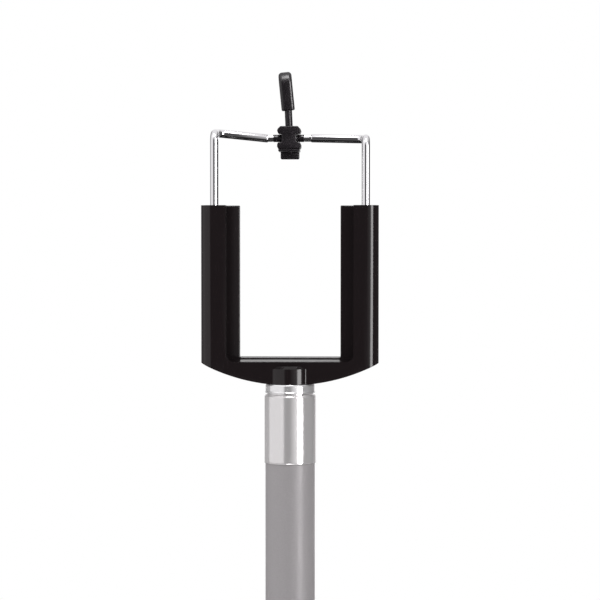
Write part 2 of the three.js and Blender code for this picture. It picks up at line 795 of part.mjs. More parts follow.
function handle() {
  const lipRadius = sectionRadius(1) + FIT;
  const tube = lippedTube(OUTER.radius, OUTER.wall, OUTER.bottom, OUTER.top, lipRadius);
  return group(
    part("end_cap", endCap(), MATERIAL.mattBlack),
    part("grip_foam", gripFoam(), MATERIAL.foam),
    part("grip_ring", gripRing(), MATERIAL.aluminium),
    part("outer_tube", tube, MATERIAL.greyPaint),
    part("top_collar", topCollar(), MATERIAL.aluminium),
  );
}

function sections() {
  return group(
    ...SECTION_NAMES.flatMap((number, i) => [
      part(`tube_${number}`, sectionTube(i + 1, i === SECTION_NAMES.length - 1), MATERIAL.steel),
      part(`slide_bush_${number}`, slideBush(i + 1), MATERIAL.bushPlastic),
    ]),
    part("head_neck", headNeck(), MATERIAL.aluminium),
    part("tripod_stud", tripodStud(), MATERIAL.zinc),
  );
}

function fork() {
  return group(
    part("rear_cover", rearCover(), MATERIAL.glossBlack),
    part("front_frame", frontFrame(), MATERIAL.glossBlack),
    part("threaded_insert", threadedInsert(), MATERIAL.brass),
    ...SCREW.places.map((place, i) =>
      part(`shell_screw_${i + 1}`, shellScrew(place), MATERIAL.zinc),
    ),
    part("ledge_pad", ledgePad(), MATERIAL.rubber),
    part("arm_pad_left", armPad(-1), MATERIAL.rubber),
    part("arm_pad_right", armPad(1), MATERIAL.rubber),
    part("guide_bush_left", guideBush(-1), MATERIAL.bushPlastic),
    part("guide_bush_right", guideBush(1), MATERIAL.bushPlastic),
    part("spring_left", spring(-1), MATERIAL.zinc),
    part("spring_right", spring(1), MATERIAL.zinc),
  );
}

function clip() {
  const jaw = group(
    part("jaw_block", jawBlock(), MATERIAL.mattBlack),
    part("tab_sleeve", tabSleeve(), MATERIAL.rubber),
    part("jaw_pad", jawPad(), MATERIAL.rubber),
  );
  jaw.position.x = JAW.x;
  return group(
    part("wire_frame", wireFrame(), MATERIAL.chrome),
    part("rod_collar_left", rodCollar(-1), MATERIAL.zinc),
    part("rod_collar_right", rodCollar(1), MATERIAL.zinc),
    part("wire_sleeve_left", wireSleeve(-1), MATERIAL.rubber),
    part("wire_sleeve_right", wireSleeve(1), MATERIAL.rubber),
    jaw,
  );
}

export default group(handle(), sections(), fork(), clip());
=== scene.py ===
"""Looks of the telescopic selfie stick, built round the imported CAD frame.

Lengths are in millimetres, as on the drawing, except in the materials and for the floor, where
Blender takes metres.
+Z runs up the stick, the clip's back faces -Y, and the phone would sit on the +Y side.
A side is -1 for the left and 1 for the right, seen from the clip's back.
"""

import json
import math

import bmesh
import bpy
from mathutils import Matrix, Quaternion, Vector

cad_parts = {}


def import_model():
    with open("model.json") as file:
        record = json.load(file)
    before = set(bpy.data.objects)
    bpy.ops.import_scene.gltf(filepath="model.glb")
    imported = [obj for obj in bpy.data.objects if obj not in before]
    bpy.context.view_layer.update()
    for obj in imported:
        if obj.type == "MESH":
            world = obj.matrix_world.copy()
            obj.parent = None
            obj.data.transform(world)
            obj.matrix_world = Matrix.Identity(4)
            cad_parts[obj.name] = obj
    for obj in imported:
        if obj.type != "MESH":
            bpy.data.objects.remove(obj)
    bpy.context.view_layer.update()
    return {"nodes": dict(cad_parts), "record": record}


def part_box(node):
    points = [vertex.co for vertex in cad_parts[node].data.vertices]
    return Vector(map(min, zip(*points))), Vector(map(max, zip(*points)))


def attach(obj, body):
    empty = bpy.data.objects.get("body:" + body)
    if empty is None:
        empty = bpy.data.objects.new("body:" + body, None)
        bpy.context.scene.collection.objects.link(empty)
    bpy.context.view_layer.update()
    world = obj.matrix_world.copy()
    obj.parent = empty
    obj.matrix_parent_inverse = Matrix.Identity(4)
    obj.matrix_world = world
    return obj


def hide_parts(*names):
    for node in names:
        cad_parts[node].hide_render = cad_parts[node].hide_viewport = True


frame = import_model()

MM = 0.001
ROUND = 128  # facets round a large turned piece
SMALL_ROUND = 48  # facets round a pin, rod or screw
SIDES = {-1: "left", 1: "right"}
SHARP_FROM = 32  # degrees between faces from which an edge is shaded sharp

# ---------------------------------------------------------------- driving dimensions

VIEW = {"azimuth": 2.0, "distance": 600, "eye": 257, "target": (3.3, 0, 240.3), "lens": 108}

# The studio is painted on the world as patches of light with soft edges, a tent that lights the
# pieces' own colours and a room of lamps that their gloss reflects. Each patch has its bearing's
# rise and fall, its height's rise and fall, and its gain. A bearing is in degrees to the right of
# the side that the clip's back faces, and a height in degrees above the horizon.
ALL_ROUND = ((-200, -190), (190, 200))
TENT_LIGHT = 0.79
TENT = {"left_half": ((-150, -90), (-30, 30), (-80, -60), (60, 80), 0.12)}
ROOM_LIGHT = 0.31
ROOM = {
    "left_bank": ((-108, -100), (-33, -19), (-45, -30), (35, 60), 0.58),
    "strip_spill": ((6, 32), (58, 62), (-45, -30), (35, 50), 0.6),
    "strip": ((34, 43), (57, 61), (-45, -30), (25, 35), 11.0),
    "overhead": ((-30, -20), (20, 30), (52, 58), (76, 82), 14.0),
    "ceiling": (*ALL_ROUND, (28, 50), (100, 110), 0.6),
    "camera_shade": ((-30, -20), (2, 9), (-45, -30), (18, 30), -0.25),
    "right_shade": ((60, 70), (130, 150), (-45, -30), (18, 30), -0.19),
    "backdrop_left": ((-190, -181), (-158, -150), (-45, -30), (25, 50), 0.6),
    "backdrop_right": ((150, 158), (181, 190), (-45, -30), (25, 50), 0.6),
}

FLOOR = {
    "radius": 0.9,
    "drop": 0.0005,
    "fade": (0.2, 0.66),  # distances between which it turns into the background
    "reflected": (0.3, 0.62, 0.012, 0.17),  # two distances, and its brightness at each
}

SLEEVE_BORE = 8.35  # of the pieces that fit round the outer tube
TUBE_MOUTH = 7.4  # radius of the opening at the top of the handle
CAP = {"solid_top": 10, "rim_top": 14, "spigot": 7.6, "groove": 11.6, "slot": (7, 2.5, 8, 2)}
FOAM = {"radius": 12.0, "fillet": 2.2, "rings": 40}
RING = {"groove": 1.0, "straight_top": 2.2, "top_radius": 8.8}
TUBE_WALL = 0.5
TUBE_LIP = 1.2  # height of the rolled-in edge at the top of a tube
COLLAR = {
    "shoulder": 1.1,
    "inset": 0.85,
    "groove": 0.5,
    "groove_radius": 7.7,
    "lip": 0.7,
    "bead": 0.06,
    "bead_radius": 0.2,
}
NECK = {
    "flange": 209.5,
    "spigot": 2.95,
    "bevel": 0.45,
    "bevel_in": 0.2,
    "lip": 0.16,
    "lip_top": 210.0,
    "bore": 2.1,
    "bore_bottom": 203,
}

FORK = {
    "half_width": 29.5,
    "arm_top": 271.8,
    "seat": 212.55,
    "boat_radius": 63,
    "boat_bottom": 212.15,
    "back": -5.5,
    "parting": -0.1,
    "front": 3,
    "round_back": 4.1,
    "round_inset": 3.9,
    "inner_half": 21.15,
    "inner_bottom": 219.85,
    "slope_top": 220.67,
    "inner_corner": 2.7,
    "window_half": 16.8,
    "window_bottom": 221.1,
}
BOSS = {"radius": 7.7, "top": 218.5, "slope": 1.0, "flare": 1.0}
EDGE = 0.3  # usual edge rounding of the moulded pieces
CHANNEL = {"radius": 2.6, "bottom": 225, "top": 267, "seat_radius": 2.95, "seat_top": 270.6}
MOUTH = 1.7
INSERT_ROOM = {"radius": 5.1, "bottom": 213.2, "top": 217.5, "hole": 3.3}
LEDGE = {"half_width": 27, "front": 14.6, "bottom": 217.9, "top": 220.15}
HOOK = {"inner": 18, "outer": 27, "back": 12.7, "top": 228, "corner": 2.2}
GUSSET = {"x": 17.5, "thickness": 2, "reach": 12, "bottom": 215}
SCREW_PLACES = ((-24, 223.3), (-12.4, 215.85), (12.4, 215.85), (24, 223.3))
SCREW = {"head": 1.9, "height": 1.1, "shaft": 0.95, "tip": -2.9}

ROD = {"x": 25.2, "y": -1.2, "radius": 1.4, "bottom": 240}
CROSSBAR_Y = 8.3
CORNER_Z = {-1: 295.6, 1: 294.0}
BAR_Z = {-1: 296.4, 1: 294.2}
MIDDLE_Z = 294.6
BEND = 3
SHOULDER = {-1: 8.1, 1: 7.1}
BAR_NECK = {"radius": 1.16, -1: 6.1, 1: 4.55}
SLEEVE_RADIUS = 1.25
JOURNAL_RADIUS = 0.8

JAW = {
    "x": -0.58,
    "back": 4.6,
    "front": 12,
    "half": 4,
    "waist": 2.4,
    "top": 298.55,
    "upper_bottom": 296.1,
    "lower_top": 293.1,
    "bottom": 290.9,
}
JAW_LIP = {"half": 3.2, "back": 13, "front": 15, "bottom": 287.8}
STEM = {"radius": 1.25, "top": 309, "lean": 2.5, "offset": -0.1}
TAB = {"width": 4.45, "thickness": 3.35, "corner": 1.1, "bottom": 303.95, "straight_top": 312.7}
TAB_CURL = {"radius": 3.2, "angle": 84, "lean": 5.7, "offset": -0.35, "tip": 1.6}


# ---------------------------------------------------------------- outlines


def arc(cx, cy, radius, start, end, steps):
    """Points on an arc, with its angles in degrees."""
    turns = [math.radians(start + (end - start) * i / steps) for i in range(steps + 1)]
    return [(cx + radius * math.cos(a), cy + radius * math.sin(a)) for a in turns]


def rounded(corners, closed=True, steps=5):
    """An outline from corners (u, v) or (u, v, fillet radius)."""
    points = []
    count = len(corners)
    for i, corner in enumerate(corners):
        here = Vector(corner[:2])
        fillet = corner[2] if len(corner) > 2 else 0
        inside = closed or 0 < i < count - 1
        if not fillet or not inside:
            points.append(tuple(here))
            continue
        into = (Vector(corners[i - 1][:2]) - here).normalized()
        out = (Vector(corners[(i + 1) % count][:2]) - here).normalized()
        half = into.angle(out) / 2
        start = here + into * fillet / math.tan(half)
        centre = here + (into + out).normalized() * fillet / math.sin(half)
        swept = math.pi - 2 * half
        turn = 1 if into.x * out.y - into.y * out.x < 0 else -1
        for k in range(steps + 1):
            arm = start - centre
            arm.rotate(Matrix.Rotation(turn * swept * k / steps, 2))
            points.append(tuple(centre + arm))
    return points


def rounded_box(half_width, half_height, corner, steps=5):
    """A rectangle about the origin with rounded corners."""
    corners = [(-1, -1), (1, -1), (1, 1), (-1, 1)]
    return rounded([(half_width * u, half_height * v, corner) for u, v in corners], steps=steps)


# ---------------------------------------------------------------- meshes


def finished(name, made, material, body, *nodes):
    """Turns a bmesh drawn in mm into a smooth-shaded piece on its body, in place of CAD nodes."""
    bmesh.ops.remove_doubles(made, verts=made.verts, dist=1e-5)
    bmesh.ops.recalc_face_normals(made, faces=made.faces)
    mesh = bpy.data.meshes.new(name)
    made.to_mesh(mesh)
    made.free()
    mesh.transform(Matrix.Scale(MM, 4))
    mesh.shade_smooth()
    mesh.set_sharp_from_angle(angle=math.radians(SHARP_FROM))
    mesh.materials.append(material)
    piece = bpy.data.objects.new(name, mesh)
    bpy.context.scene.collection.objects.link(piece)
    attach(piece, body)
    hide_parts(*nodes)
    return piece


def slot_of(node):
    subparts = frame["record"]["subparts"]
    return next(s["material_slot"] for s in subparts if s["node"] == node)


def in_mm(node):
    """A CAD node's lowest and highest corners."""
    low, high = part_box(node)
    return Vector(low) / MM, Vector(high) / MM


def lathe(outline, closed=False, segments=ROUND):
    """Revolves an outline of (radius, height) about Z. An open one starts and ends on the axis."""
    made = bmesh.new()
    turns = [2 * math.pi * i / segments for i in range(segments)]
    rings = []
    for radius, z in outline:
        if radius < 1e-6:
            rings.append([made.verts.new((0, 0, z))] * segments)
            continue
        ring = [made.verts.new((radius * math.cos(a), radius * math.sin(a), z)) for a in turns]
        rings.append(ring)
    pairs = list(zip(rings, rings[1:]))
    if closed:
        pairs.append((rings[-1], rings[0]))
    for low, high in pairs:
        for i in range(segments):
            j = (i + 1) % segments
            corners = dict.fromkeys((low[i], low[j], high[j], high[i]))
            if len(corners) > 2:
                made.faces.new(corners)
    bmesh.ops.recalc_face_normals(made, faces=made.faces)
    return made


def loft(sections):
    """Joins sections that all have as many points, and closes both ends."""
    made = bmesh.new()
    rings = [[made.verts.new(point) for point in section] for section in sections]
    for low, high in zip(rings, rings[1:]):
        for k in range(len(low)):
            j = (k + 1) % len(low)
            made.faces.new((low[k], low[j], high[j], high[k]))
    made.faces.new(rings[0])
    made.faces.new(rings[-1])
    bmesh.ops.recalc_face_normals(made, faces=made.faces)
    return made


def prism(outline, low, high, axis="Y"):
    """Extrudes an outline along an axis: drawn in y and z for X, x and z for Y, x and y for Z."""
    place = {
        "X": lambda u, v, w: (w, u, v),
        "Y": lambda u, v, w: (u, w, v),
        "Z": lambda u, v, w: (u, v, w),
    }[axis]
    return loft([[place(u, v, w) for u, v in outline] for w in (low, high)])


def box(x0, x1, y0, y1, z0, z1):
    return prism([(x0, z0), (x1, z0), (x1, z1), (x0, z1)], y0, y1)


def soften(made, width=EDGE, steps=3, sharper_than=35, keep=lambda edge: True):
    """Rounds the sharp edges of a bmesh."""
    limit = math.radians(sharper_than)
    edges = [e for e in made.edges if len(e.link_faces) == 2 and e.calc_face_angle(0) > limit]
    bmesh.ops.bevel(
        made,
        geom=[e for e in edges if keep(e)],
        offset=width,
        segments=steps,
        profile=0.5,
        affect="EDGES",
        clamp_overlap=True,
    )
    return made


def scratch(made):
    """A bmesh as a throwaway object, for a boolean."""
    mesh = bpy.data.meshes.new("scratch")
    made.to_mesh(mesh)
    made.free()
    piece = bpy.data.objects.new("scratch", mesh)
    bpy.context.scene.collection.objects.link(piece)
    return piece


def combined(made, *steps):
    """A bmesh after booleans. Each step is UNION, DIFFERENCE or INTERSECT, and a bmesh."""
    base = scratch(made)
    tools = []
    for operation, tool in steps:
        tools.append(scratch(tool))
        modifier = base.modifiers.new("step", "BOOLEAN")
        modifier.operation = operation
        modifier.solver = "EXACT"
        modifier.object = tools[-1]
    bpy.context.view_layer.update()
    graph = bpy.context.evaluated_depsgraph_get()
    result = bmesh.new()
    result.from_mesh(base.evaluated_get(graph).to_mesh())
    for piece in (base, *tools):
        mesh = piece.data
        bpy.data.objects.remove(piece)
        bpy.data.meshes.remove(mesh)
    bmesh.ops.remove_doubles(result, verts=result.verts, dist=1e-4)
    bmesh.ops.dissolve_degenerate(result, edges=result.edges, dist=1e-4)
    return result


def moved(made, x=0, y=0, z=0):
    bmesh.ops.translate(made, verts=made.verts, vec=(x, y, z))
    return made


def turned_to(made, axis):
    """Lays a piece drawn about Z along X or Y, with its heights running the positive way."""
    angle, about = {"X": (math.pi / 2, "Y"), "Y": (-math.pi / 2, "X")}[axis]
    bmesh.ops.rotate(made, verts=made.verts, matrix=Matrix.Rotation(angle, 3, about))
    return made


def cylinder(radius, low, high, x=0, y=0):
    made = lathe([(0, low), (radius, low), (radius, high), (0, high)], segments=SMALL_ROUND)
    return moved(made, x, y)


def cylinder_along_y(radius, low, high, x, z):
    made = lathe([(0, low), (radius, low), (radius, high), (0, high)], segments=SMALL_ROUND)
    return moved(turned_to(made, "Y"), x, 0, z)


def sweep(route, radii, sides=24):
    """A round tube along a route, with a radius for each of its points."""
    sections = []
    side = None
    last = len(route) - 1
    turns = [2 * math.pi * k / sides for k in range(sides)]
    for i, here in enumerate(route):
        ahead = (route[min(i + 1, last)] - route[max(i - 1, 0)]).normalized()
        side = side or ahead.orthogonal().normalized()
        side = (side - ahead * side.dot(ahead)).normalized()
        other = ahead.cross(side)
        arms = [side * math.cos(a) + other * math.sin(a) for a in turns]
        sections.append([here + arm * radii[i] for arm in arms])
    return loft(sections)


def bent_route(corners, radius, steps=10):
    """Straight runs between corners, each corner rounded to a radius."""
    route = [corners[0]]
    for before, here, after in zip(corners, corners[1:], corners[2:]):
        into = (before - here).normalized()
        out = (after - here).normalized()
        half = into.angle(out) / 2
        centre = here + (into + out).normalized() * radius / math.sin(half)
        start = here + into * radius / math.tan(half)
        axis = (start - centre).cross(here - centre).normalized()
        swept = math.pi - 2 * half
        for k in range(steps + 1):
            turn = Quaternion(axis, swept * k / steps)
            route.append(centre + turn @ (start - centre))
    return route + [corners[-1]]


# ---------------------------------------------------------------- materials


class Graph:
    """A node tree, and a short way to add nodes to it."""

    def __init__(self, tree):
        self.tree = tree

    def add(self, kind, **inputs):
        node = self.tree.nodes.new(kind)
        for socket, value in inputs.items():
            self.feed(node.inputs[socket.replace("_", " ")], value)
        return node

    def feed(self, socket, value):
        if isinstance(value, bpy.types.NodeSocket):
            self.tree.links.new(value, socket)
        else:
            socket.default_value = value

    def math(self, operation, first, second=0.0):
        node = self.add("ShaderNodeMath")
        node.operation = operation
        self.feed(node.inputs[0], first)
        self.feed(node.inputs[1], second)
        return node.outputs["Value"]

    def mix(self, share, first, second):
        """Mixes two shaders."""
        node = self.add("ShaderNodeMixShader", Fac=share)
        self.feed(node.inputs[1], first)
        self.feed(node.inputs[2], second)
        return node.outputs["Shader"]

    def ramp(self, value, start, end, low=0.0, high=1.0, smooth=False):
        """Runs from low at start to high at end, and stays level on both sides."""
        node = self.add("ShaderNodeMapRange", Value=value)
        node.interpolation_type = "SMOOTHSTEP" if smooth else "LINEAR"
        node.inputs["From Min"].default_value = start
        node.inputs["From Max"].default_value = end
        node.inputs["To Min"].default_value = low
        node.inputs["To Max"].default_value = high
        return node.outputs["Result"]


class Look(Graph):
    """A material with a Principled shader."""

    def __init__(self, name, colour, roughness, metallic=0.0, **constants):
        self.material = bpy.data.materials.new(name)
        self.material.use_nodes = True
        super().__init__(self.material.node_tree)
        self.shader = self.tree.nodes["Principled BSDF"]
        self.shader.inputs["Base Color"].default_value = (*colour, 1)
        self.shader.inputs["Roughness"].default_value = roughness
        self.shader.inputs["Metallic"].default_value = metallic
        for socket, value in constants.items():
            self.shader.inputs[socket.replace("_", " ")].default_value = value

    def place(self):
        return self.add("ShaderNodeTexCoord").outputs["Object"]

    def noise(self, scale, detail=3.0, vector=None):
        where = vector or self.place()
        node = self.add("ShaderNodeTexNoise", Vector=where, Scale=scale, Detail=detail)
        return node.outputs["Fac"]

    def scaled(self, x, y, z):
        node = self.add("ShaderNodeMapping", Vector=self.place())
        node.inputs["Scale"].default_value = (x, y, z)
        return node.outputs["Vector"]

    def roughness(self, value, low, high):
        """Spreads noise, most of which lies between 0.3 and 0.7, over a range of roughness."""
        self.feed(self.shader.inputs["Roughness"], self.ramp(value, 0.3, 0.7, low, high))

    def colour(self, value, first, second):
        node = self.add("ShaderNodeMix")
        node.data_type = "RGBA"
        self.feed(node.inputs["Factor"], self.ramp(value, 0.3, 0.7))
        self.feed(node.inputs["A"], (*first, 1))
        self.feed(node.inputs["B"], (*second, 1))
        self.feed(self.shader.inputs["Base Color"], node.outputs["Result"])

    def bump(self, height, distance, strength=1.0):
        node = self.add("ShaderNodeBump", Height=height, Strength=strength, Distance=distance)
        below = self.shader.inputs["Normal"]
        if below.links:
            self.feed(node.inputs["Normal"], below.links[0].from_socket)
        self.feed(below, node.outputs["Normal"])


def gloss_black():
    look = Look("gloss_black", (0.0145, 0.0105, 0.0115), 0.08, IOR=1.38)
    look.roughness(look.noise(260, 5), 0.06, 0.11)
    look.bump(look.noise(70, 1), 0.00002, 0.2)
    return look.material


def matt_black():
    look = Look("matt_black", (0.0125, 0.0095, 0.0125), 0.36, IOR=1.4)
    look.roughness(look.noise(400, 4), 0.32, 0.42)
    look.bump(look.noise(2600, 3), 0.000006, 0.3)
    return look.material


def rubber_black():
    look = Look("rubber_black", (0.011, 0.008, 0.011), 0.3, IOR=1.55)
    look.colour(look.noise(500, 4), (0.0095, 0.007, 0.0095), (0.0125, 0.009, 0.0125))
    look.roughness(look.noise(700, 3), 0.27, 0.34)
    look.bump(look.noise(2400, 2), 0.000006, 0.4)
    return look.material


def foam_black():
    look = Look("foam_black", (0.016, 0.016, 0.017), 0.9, Sheen_Weight=0.15, Sheen_Roughness=0.5)
    cells = look.add("ShaderNodeTexVoronoi", Vector=look.place(), Scale=1500.0)
    pores = look.add("ShaderNodeTexVoronoi", Vector=look.place(), Scale=420.0)
    look.colour(look.noise(120, 5), (0.011, 0.011, 0.012), (0.024, 0.024, 0.025))
    look.roughness(look.noise(900, 3), 0.8, 0.98)
    look.bump(cells.outputs["Distance"], 0.00012, 0.7)
    look.bump(pores.outputs["Distance"], 0.0002, 0.25)
    return look.material


def grey_paint():
    look = Look("grey_paint", (0.385, 0.368, 0.376), 0.42)
    look.colour(look.noise(2400, 2), (0.37, 0.353, 0.361), (0.40, 0.383, 0.391))
    look.roughness(look.noise(180, 4), 0.38, 0.46)
    look.bump(look.noise(1700, 2), 0.000004, 0.3)
    return look.material


def turning_lines(look, scale):
    """Fine rings left by a lathe, round the Z axis."""
    return look.noise(scale, 2, look.scaled(0.012, 0.012, 1))


def satin_aluminium():
    look = Look("satin_aluminium", (0.80, 0.782, 0.787), 0.13, 0.5)
    look.roughness(turning_lines(look, 4200), 0.10, 0.17)
    return look.material


def bright_aluminium():
    look = Look("bright_aluminium", (0.88, 0.875, 0.885), 0.08, 0.6)
    look.roughness(turning_lines(look, 5200), 0.06, 0.11)
    return look.material


def steel_tube():
    look = Look("steel_tube", (0.74, 0.74, 0.75), 0.16, 1.0)
    look.roughness(turning_lines(look, 3800), 0.12, 0.2)
    return look.material


def chrome():
    look = Look("chrome_wire", (0.84, 0.83, 0.85), 0.04, 1.0)
    look.roughness(look.noise(350, 4), 0.03, 0.07)
    return look.material


def zinc_steel():
    look = Look("zinc_steel", (0.6, 0.6, 0.58), 0.34, 1.0)
    look.colour(look.noise(300, 3), (0.55, 0.55, 0.53), (0.65, 0.64, 0.61))
    look.roughness(look.noise(900, 3), 0.28, 0.42)
    return look.material


def brass():
    look = Look("brass", (0.69, 0.5, 0.24), 0.3, 1.0)
    look.roughness(look.noise(800, 3), 0.24, 0.38)
    return look.material


def bush_plastic():
    depth = {"Subsurface_Weight": 0.1, "Subsurface_Scale": 0.001}
    look = Look("bush_plastic", (0.72, 0.70, 0.64), 0.45, **depth)
    look.roughness(look.noise(500, 3), 0.4, 0.55)
    return look.material


LOOK = {
    "gloss_black": gloss_black(),
    "matt_black": matt_black(),
    "rubber_black": rubber_black(),
    "foam_black": foam_black(),
    "grey_paint": grey_paint(),
    "aluminium": satin_aluminium(),
    "steel_tube": steel_tube(),
    "chrome_wire": chrome(),
    "zinc_steel": zinc_steel(),
    "brass": brass(),
    "bush_plastic": bush_plastic(),
}
BRIGHT_ALUMINIUM = bright_aluminium()


def dress_carried_nodes():
    """CAD nodes that stay hidden inside keep their shape and get the same materials."""
    for node, piece in frame["nodes"].items():
        for slot in piece.material_slots:
            slot.material = LOOK[slot_of(node)]


# ---------------------------------------------------------------- handle


def end_cap():
    high = in_mm("end_cap")[1]
    radius = high.x
    groove = CAP["groove"]
    outline = [
        (0, 0),
        (radius, 0, 1.5),
        (radius, groove - 0.35, 0.15),
        (radius - 0.35, groove, 0.12),
        (radius, groove + 0.35, 0.15),
        (radius, CAP["rim_top"], 0.5),
        (SLEEVE_BORE + 0.05, CAP["rim_top"], 0.3),
        (SLEEVE_BORE + 0.05, CAP["solid_top"]),
        (CAP["spigot"], CAP["solid_top"]),
        (CAP["spigot"], high.z),
        (0, high.z),
    ]
    width, bottom, top, fillet = CAP["slot"]
    middle = (bottom + top) / 2
    hole = rounded_box(width / 2, (top - bottom) / 2, fillet)
    slot = prism([(y, middle + z) for y, z in hole], -20, 20, "X")
    made = combined(lathe(rounded(outline, closed=False)), ("DIFFERENCE", slot))
    soften(made, 0.4, 3, 40, keep=lambda e: on_slot(e, width / 2, bottom, top))
    return finished("end_cap_moulded", made, LOOK["matt_black"], "handle", "end_cap")


def on_slot(edge, half, bottom, top):
    """Whether an edge lies on the strap slot's rim."""
    return all(
        abs(v.co.y) < half + 0.01 and bottom - 0.01 < v.co.z < top + 0.01 and abs(v.co.x) > 8
        for v in edge.verts
    )


def grip_foam():
    low, high = in_mm("grip_foam")
    radius = FOAM["radius"]
    fillet = FOAM["fillet"]
    bulge = high.x - radius
    ends = arc(radius - fillet, 0, fillet, -90, 0, 10)
    outline = [(SLEEVE_BORE, low.z)] + [(r, low.z + fillet + z) for r, z in ends]
    length = high.z - low.z - 2 * fillet
    for share in [i / FOAM["rings"] for i in range(1, FOAM["rings"])]:
        swell = bulge * math.sin(math.pi * share)
        outline.append((radius + swell, low.z + fillet + share * length))
    outline += [(r, high.z - fillet - z) for r, z in reversed(ends)]
    outline.append((SLEEVE_BORE, high.z))
    made = lathe(outline, closed=True)
    return finished("grip_foam_sleeve", made, LOOK["foam_black"], "handle", "grip_foam")


def grip_ring():
    low, high = in_mm("grip_ring")
    radius = high.x
    groove = low.z + RING["groove"]
    top_radius = RING["top_radius"]
    corners = [
        (SLEEVE_BORE, low.z, 0.15),
        (radius, low.z, 0.3),
        (radius, groove - 0.2, 0.1),
        (radius - 0.25, groove, 0.1),
        (radius, groove + 0.2, 0.1),
        (radius, low.z + RING["straight_top"], 0.5),
        (top_radius + 0.4, high.z - 0.6, 0.4),
        (top_radius, high.z, 0.2),
        (SLEEVE_BORE, high.z, 0.1),
    ]
    made = lathe(rounded(corners, steps=4), closed=True)
    return finished("grip_ring_turned", made, LOOK["aluminium"], "handle", "grip_ring")


def outer_tube():
    low, high = in_mm("outer_tube")
    corners = [
        (high.x - TUBE_WALL, low.z),
        (high.x, low.z),
        (high.x, high.z, 0.25),
        (TUBE_MOUTH, high.z, 0.2),
        (TUBE_MOUTH, high.z - TUBE_LIP),
        (high.x - TUBE_WALL, high.z - TUBE_LIP),
    ]
    made = lathe(rounded(corners), closed=True)
    return finished("outer_tube_painted", made, LOOK["grey_paint"], "handle", "outer_tube")


def top_collar():
    low, high = in_mm("top_collar")
    radius = high.x
    shoulder, inset = COLLAR["shoulder"], COLLAR["inset"]
    bead = COLLAR["bead_radius"]
    outline = [(SLEEVE_BORE, low.z), (radius - 0.15, low.z)]
    outline += arc(radius - bead + COLLAR["bead"], low.z + bead + 0.05, bead, -60, 60, 6)
    top = high.z - COLLAR["groove"]
    # Rings close to each end of the wall keep its shading straight.
    outline += [(radius, low.z + z) for z in (0.5, 0.6, 0.8)]
    outline.append((radius, top - shoulder - 0.2))
    for u, v in arc(0, 0, 1, 0, 90, 14):
        outline.append((radius - inset * (1 - u), top - shoulder * (1 - v)))
    lip = high.z - COLLAR["lip"]
    groove = COLLAR["groove_radius"]
    outline += [(groove, top), (groove, high.z), (TUBE_MOUTH, high.z)]
    outline += [(TUBE_MOUTH, lip), (SLEEVE_BORE, lip)]
    made = lathe(outline, closed=True)
    return finished("top_collar_turned", made, LOOK["aluminium"], "handle", "top_collar")


# ---------------------------------------------------------------- telescopic sections


def section_tube(number):
    """A polished tube with its top edge rolled in, except on the innermost one."""
    node = f"tube_{number}"
    low, high = in_mm(node)
    outer = high.x
    inner = outer - TUBE_WALL
    lip = inner if number == 6 else outer - 0.85
    corners = [
        (inner, low.z),
        (outer, low.z),
        (outer, high.z, 0.25),
        (lip, high.z, 0.12),
        (lip, high.z - TUBE_LIP),
        (inner, high.z - TUBE_LIP - 0.1),
    ]
    made = lathe(rounded(corners), closed=True)
    return finished(f"{node}_polished", made, LOOK["steel_tube"], f"section_{number}", node)


def head_neck():
    """The turned neck under the clip, bored for the tripod stud."""
    low, high = in_mm("head_neck")
    radius = high.x
    flange = NECK["flange"]
    spigot = NECK["spigot"]
    corners = [
        (0, low.z),
        (spigot, low.z, 0.3),
        (spigot, flange),
        (radius + NECK["lip"], flange, 0.05),
        (radius + NECK["lip"], NECK["lip_top"] - 0.2, 0.12),
        (radius, NECK["lip_top"] + 0.05, 0.05),
        (radius, high.z - NECK["bevel"], 0.12),
        (radius - NECK["bevel_in"], high.z, 0.05),
        (NECK["bore"], high.z, 0.1),
        (NECK["bore"], NECK["bore_bottom"]),
        (0, NECK["bore_bottom"]),
    ]
    made = lathe(rounded(corners, closed=False, steps=3))
    return finished("head_neck_turned", made, BRIGHT_ALUMINIUM, "section_6", "head_neck")


# ---------------------------------------------------------------- the clip's two halves


def underside(steps):
    """The fork's curved underside with its flat seat, from left to right."""
    radius = FORK["boat_radius"]
    centre = FORK["boat_bottom"] + radius
    edge = math.degrees(math.asin(FORK["half_width"] / radius))
    flat = math.degrees(math.acos((centre - FORK["seat"]) / radius))
    left = arc(0, centre, radius, -90 - edge, -90 - flat, steps)
    return left + [(-x, z) for x, z in reversed(left)]


def fork_outline(inner_half, inner_bottom, corner):
    top = FORK["arm_top"]
    half = FORK["half_width"]
    left = [(-inner_half, top), (-half, top)]
    right = [(half, top), (inner_half, top)]
    low = inner_bottom + corner
    inner = arc(inner_half - corner, low, corner, 0, -90, 10)
    inner += arc(corner - inner_half, low, corner, -90, -180, 10)
    return left + underside(36) + right + inner


def arm_section():
    """The rear cover's section across both arms, in x and y."""
    radius = FORK["round_back"]
    inset = FORK["round_inset"]
    widest = math.degrees(math.asin(inset / radius))
    centre_x = FORK["half_width"] - inset
    centre_y = FORK["back"] + radius
    right = arc(centre_x, centre_y, radius, -90, -90 + widest, 16)
    left = [(-x, y) for x, y in reversed(right)]
    front = [(FORK["half_width"], FORK["parting"]), (-FORK["half_width"], FORK["parting"])]
    return left + right + front


